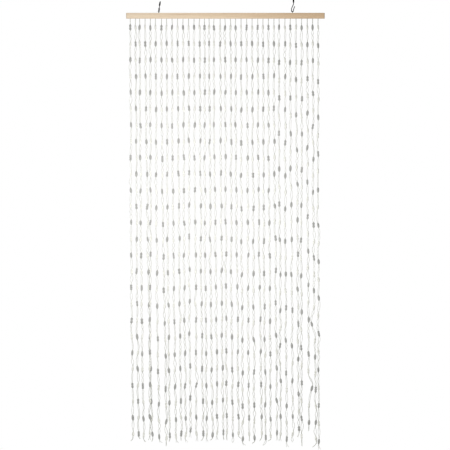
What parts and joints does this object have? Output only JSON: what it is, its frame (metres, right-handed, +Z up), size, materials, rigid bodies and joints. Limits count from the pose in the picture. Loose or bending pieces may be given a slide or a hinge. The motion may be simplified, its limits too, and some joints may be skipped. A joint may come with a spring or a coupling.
{
  "type": "string door curtain with wooden batten and screw hooks",
  "caption": "String curtain for a doorway: strings of wound yarn pieces, grey and ivory by turns, under a light wooden batten that hangs from screw hooks.",
  "frame": {"origin": "middle of the batten's top face", "axes": "+X to the right along the batten, +Y away from the viewer towards the doorway's far side, +Z up"},
  "size_m": [0.9, 0.0267, 2.0478],
  "materials": {
    "light_pine": "planed light pine, unvarnished",
    "cotton_yarn": "off-white cotton cords with wound pieces of grey and ivory yarn",
    "dark_steel": "dark steel wire, nearly black on the thread"
  },
  "bodies": {
    "root": {"batten": "light_pine", "strings_left": "cotton_yarn", "strings_right": "cotton_yarn", "screw_eye_left": "dark_steel", "screw_eye_right": "dark_steel", "screw_hook_left": "dark_steel", "screw_hook_right": "dark_steel"}
  },
  "joints": []
}
